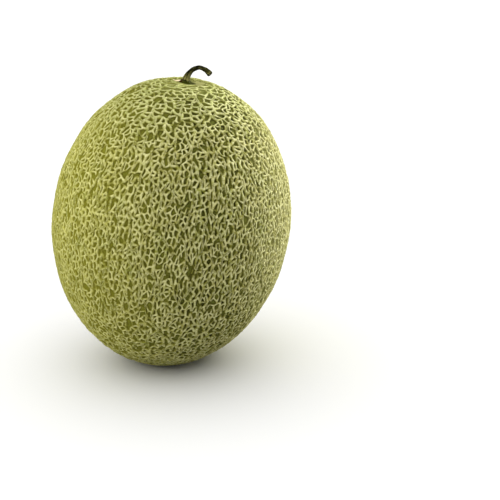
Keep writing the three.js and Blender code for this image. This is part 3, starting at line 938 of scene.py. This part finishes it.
# The cut: more rings draw in to the middle, which has dried hollow.
tip, tip_way = stem_line[-1], tangent[-1]
cut_rim = stem_points[-1]
cut_rings = [tip + (cut_rim - tip) * share + tip_way * out * MM for share, out in CUT]
stem_points = np.concatenate(
    [stem_points.reshape(-1, 3), *cut_rings, [tip + tip_way * CUT_MIDDLE, stem_line[0]]]
)
rings = STEM_STEPS + len(CUT)
cut_ring = np.arange((rings - 1) * STEM_SIDES, rings * STEM_SIDES)
stem = add_piece(
    "stem_stalk",
    stem_points,
    grid_faces(rings, STEM_SIDES),
    [
        *fan_faces(len(stem_points) - 2, cut_ring),
        *fan_faces(len(stem_points) - 1, np.arange(STEM_SIDES))[:, ::-1],
    ],
)
# The grain is the place round and along the stalk, and the wear is how worn it is there, from
# foot to cut.
grain = stem.data.attributes.new("grain", "FLOAT_VECTOR", "POINT")
lengthwise = np.ones(len(stem_points))
lengthwise[: STEM_STEPS * STEM_SIDES] = np.repeat(np.linspace(0, 1, STEM_STEPS), STEM_SIDES)
circle = np.tile(angle.ravel(), rings)
grain_values = np.zeros((len(stem_points), 3))
grain_values[: len(circle), 0] = np.cos(circle)
grain_values[: len(circle), 1] = np.sin(circle)
grain_values[:, 2] = lengthwise
grain.data.foreach_set("vector", grain_values.astype(np.float32).ravel())
wear = np.interp(
    lengthwise,
    (0, 0.2, 0.26, 0.36, 0.45, 0.85, 0.93, 0.99),
    (-0.25, -0.2, 0.06, 0.03, -0.08, -0.08, 0.05, -0.08),
)
stem.data.attributes.new("wear", "FLOAT", "POINT").data.foreach_set("value", wear.astype(np.float32))

# Dried stalk: woody fibres, dark olive brown, worn to straw along the ribs.
STALK = "#25250a"
STALK_DARK = "#0b0a00"
STALK_WORN = "#8d884c"
STALK_FOOT = "#33370a"  # still green over the rind
STALK_TOE = "#33220a"  # and browned towards -X
BLOTCH_SIZE = 3 * MM

stalk, tree, shader, place = new_material("dried_stalk")
shader.inputs["Roughness"].default_value = 0.75
shader.inputs["Specular IOR Level"].default_value = 0.04
grain_node = add_node(tree, "Attribute", {"attribute_name": "grain"})
# The grain is drawn out lengthwise, for fibres about 1 mm wide and 4 mm long.
drawn = add_node(
    tree, "Mapping", inputs={"Scale": (1.3, 1.3, 3.5)}, links={"Vector": grain_node.outputs["Vector"]}
)
fibre = add_node(
    tree, "TexNoise", inputs={"Scale": 1.6, "Detail": 5, "Roughness": 0.65},
    links={"Vector": drawn.outputs["Vector"]},
)
blotches = add_node(
    tree, "TexNoise", inputs={"Scale": 1 / BLOTCH_SIZE, "Detail": 2}, links={"Vector": place}
)
wear_node = add_node(tree, "Attribute", {"attribute_name": "wear"})
worn_fibre = add_node(
    tree, "Math", {"operation": "ADD"},
    links={0: fibre.outputs["Fac"], 1: wear_node.outputs["Fac"]},
)
worn_parts = add_node(
    tree, "MapRange", inputs={"From Min": 0.47, "From Max": 0.7},
    links={"Value": worn_fibre.outputs["Value"]},
)
dark_parts = add_node(
    tree, "MapRange", inputs={"From Min": 0.55, "From Max": 0.35},
    links={"Value": blotches.outputs["Fac"]},
)
darkened = add_node(
    tree, "Mix", {"data_type": "RGBA"},
    inputs={6: linear(STALK), 7: linear(STALK_DARK)}, links={0: dark_parts.outputs["Result"]},
)
stalk_axes = add_node(tree, "SeparateXYZ", links={"Vector": place})
browned = add_node(
    tree, "MapRange",
    inputs={"From Min": STEM_FOOT.x - 1.5 * MM, "From Max": STEM_FOOT.x - 3 * MM},
    links={"Value": stalk_axes.outputs["X"]},
)
green_foot = add_node(
    tree, "MapRange", inputs={"From Min": -0.09, "From Max": -0.2},
    links={"Value": wear_node.outputs["Fac"]},
)
stalk_colour = darkened.outputs[2]
for share, part in ((green_foot, STALK_FOOT), (browned, STALK_TOE), (worn_parts, STALK_WORN)):
    stalk_colour = add_node(
        tree, "Mix", {"data_type": "RGBA"}, inputs={7: linear(part)},
        links={0: share.outputs["Result"], 6: stalk_colour},
    ).outputs[2]
tree.links.new(stalk_colour, shader.inputs["Base Color"])
bump = add_node(
    tree, "Bump", inputs={"Strength": 0.6, "Distance": 0.2 * MM},
    links={"Height": fibre.outputs["Fac"]},
)
tree.links.new(bump.outputs["Normal"], shader.inputs["Normal"])
stem.data.materials.append(stalk)
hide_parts("stem")
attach(stem, "root")

# ---- Floor, light and camera -------------------------------------------------
# A wide sheet of white paper under an even white sky, with a large soft panel on each side of the
# melon and a soft light overhead. The paper's own light is wider, for a soft shadow.

FLOOR_SIZE = 12.0
PAPER = "#fafaf9"
SKY_STRENGTH = 0.3  # of its light, while its own face is plain white
floor = add_piece(
    "floor",
    np.array([[-1, -1, 0], [1, -1, 0], [1, 1, 0], [-1, 1, 0]]) * FLOOR_SIZE / 2,
    np.array([[0, 1, 2, 3]]),
)
paper, tree, shader, place = new_material("white_paper_sweep")
shader.inputs["Base Color"].default_value = linear(PAPER)
shader.inputs["Roughness"].default_value = 0.9
floor.data.materials.append(paper)

scene = bpy.context.scene
scene.view_settings.view_transform = "Standard"
sky = bpy.data.worlds.new("white_sky")
sky.use_nodes = True
tree = sky.node_tree
direct = add_node(tree, "LightPath").outputs["Is Camera Ray"]
lit = add_node(tree, "Background", inputs={"Color": (1, 1, 1, 1), "Strength": SKY_STRENGTH})
backdrop = add_node(tree, "Background", inputs={"Color": (1, 1, 1, 1), "Strength": 1})
both = add_node(
    tree, "MixShader",
    links={0: direct, 1: lit.outputs["Background"], 2: backdrop.outputs["Background"]},
)
tree.links.new(both.outputs["Shader"], tree.nodes["World Output"].inputs["Surface"])
scene.world = sky

melon_pieces = bpy.data.collections.new("melon_pieces")
for piece in (rind, *nets, stem):
    melon_pieces.objects.link(piece)
floor_piece = bpy.data.collections.new("floor_piece")
floor_piece.objects.link(floor)


def add_panel(name, place, size, power):
    """A square soft light that faces the melon's middle and lights the melon alone."""
    light = bpy.data.lights.new(name, "AREA")
    light.size = size
    light.energy = power
    panel = bpy.data.objects.new(name, light)
    aim = (MIDDLE - Vector(place)).to_track_quat("-Z", "Y")
    panel.matrix_world = Matrix.LocRotScale(Vector(place), aim, None)
    scene.collection.objects.link(panel)
    panel.light_linking.receiver_collection = melon_pieces


add_panel("left_panel", (-0.42, -0.83, 0.7), size=0.7, power=9.3)
add_panel("right_panel", (0.83, 0.37, 0.42), size=0.7, power=25.5)


def add_overhead(name, energy, width, receivers):
    """A light from overhead, a little left of and behind the melon, that spans a width of so
    many degrees in the sky and lights the given pieces alone."""
    light = bpy.data.lights.new(name, "SUN")
    light.energy = energy
    light.angle = np.radians(width)
    lamp = bpy.data.objects.new(name, light)
    lamp.rotation_euler = Vector((-0.2, 0.1, 1)).to_track_quat("Z", "Y").to_euler()
    scene.collection.objects.link(lamp)
    lamp.light_linking.receiver_collection = receivers


add_overhead("melon_light", energy=2.6, width=36, receivers=melon_pieces)
add_overhead("floor_light", energy=2.9, width=130, receivers=floor_piece)

# The camera looks along +Y and down by 18 degrees. The melon's middle lies left of the frame's
# centre, and above it, by these shares of the frame's width.
LENS = 85.0
SENSOR = 36.0
CAMERA_ELEVATION = np.radians(18)
CAMERA_DISTANCE = 0.7459
MIDDLE_LEFT = (250 - 171.55) / 500
MIDDLE_ABOVE = (250 - 222.9) / 500
looking = Vector((0, np.cos(CAMERA_ELEVATION), -np.sin(CAMERA_ELEVATION)))
rightward = Vector((1, 0, 0))
upward = rightward.cross(looking)
field = CAMERA_DISTANCE * SENSOR / LENS
lens = bpy.data.cameras.new("camera")
lens.lens = LENS
lens.sensor_width = SENSOR
lens.clip_end = 50
camera = bpy.data.objects.new("camera", lens)
camera_place = (
    MIDDLE
    - looking * CAMERA_DISTANCE
    + rightward * MIDDLE_LEFT * field
    - upward * MIDDLE_ABOVE * field
)
camera.matrix_world = Matrix.LocRotScale(camera_place, looking.to_track_quat("-Z", "Y"), None)
scene.collection.objects.link(camera)
scene.camera = camera
